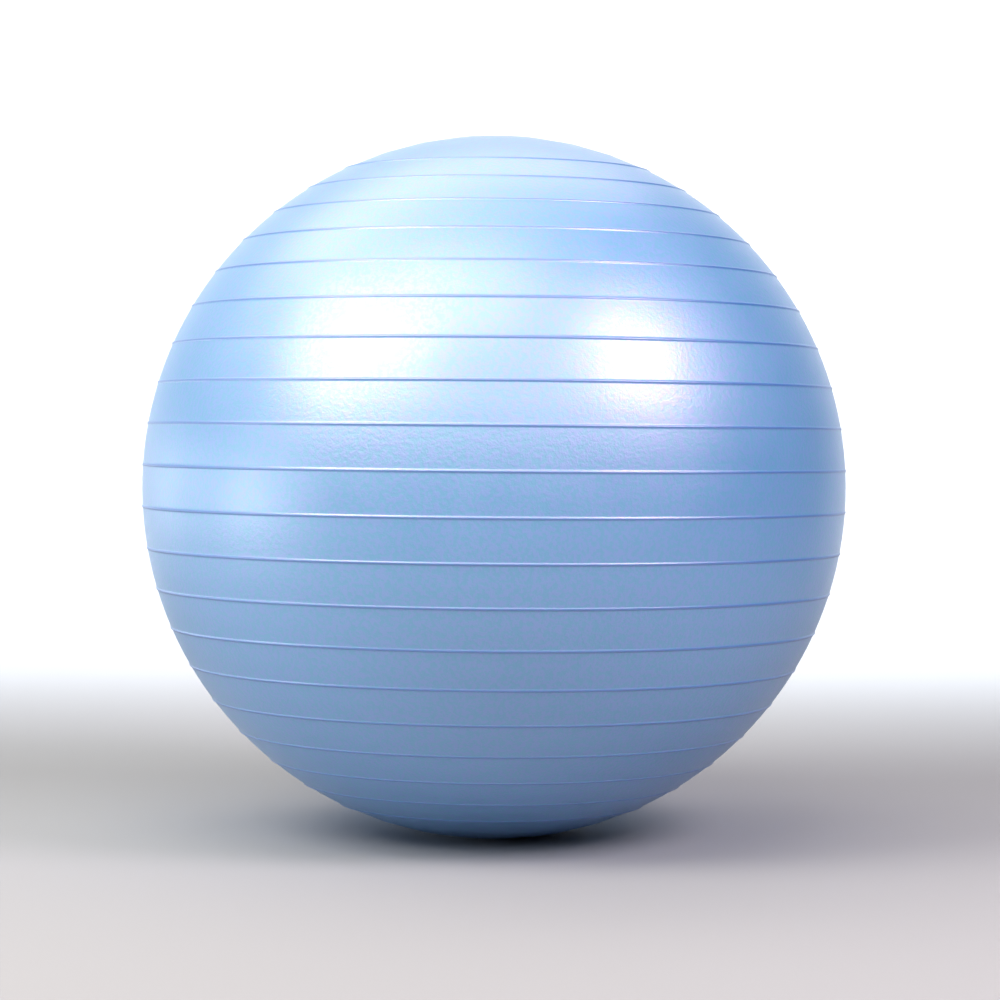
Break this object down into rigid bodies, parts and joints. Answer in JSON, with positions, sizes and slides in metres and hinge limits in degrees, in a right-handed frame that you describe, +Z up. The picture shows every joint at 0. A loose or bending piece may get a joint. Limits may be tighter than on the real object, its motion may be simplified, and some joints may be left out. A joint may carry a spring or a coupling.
{
  "type": "exercise ball",
  "caption": "Inflatable round exercise ball of soft PVC with raised grip rings all round and an air valve closed by a push-in plug.",
  "frame": {"origin": "centre of the small flat patch that the ball rests on, level with the floor", "axes": "+Z up, along the axis that the grip rings go round and through the air plug at the top; X and Y level, and no side of the ball differs from another"},
  "size_m": [0.6504, 0.6504, 0.65],
  "materials": {
    "skin_pvc": "light blue pearlescent soft PVC, satin with a fine moulded grain",
    "seat_pvc": "blue soft PVC, smooth satin",
    "plug_ldpe": "natural white LDPE, smooth, slightly waxy"
  },
  "bodies": {
    "ball": {"ball_skin": "skin_pvc", "valve_seat": "seat_pvc"},
    "plug": {"air_plug": "plug_ldpe"}
  },
  "joints": [
    {"name": "plug_pull", "type": "slide", "parent": "ball", "child": "plug", "axis": [0, 0, 1], "range_m": [0, 0.03]}
  ]
}
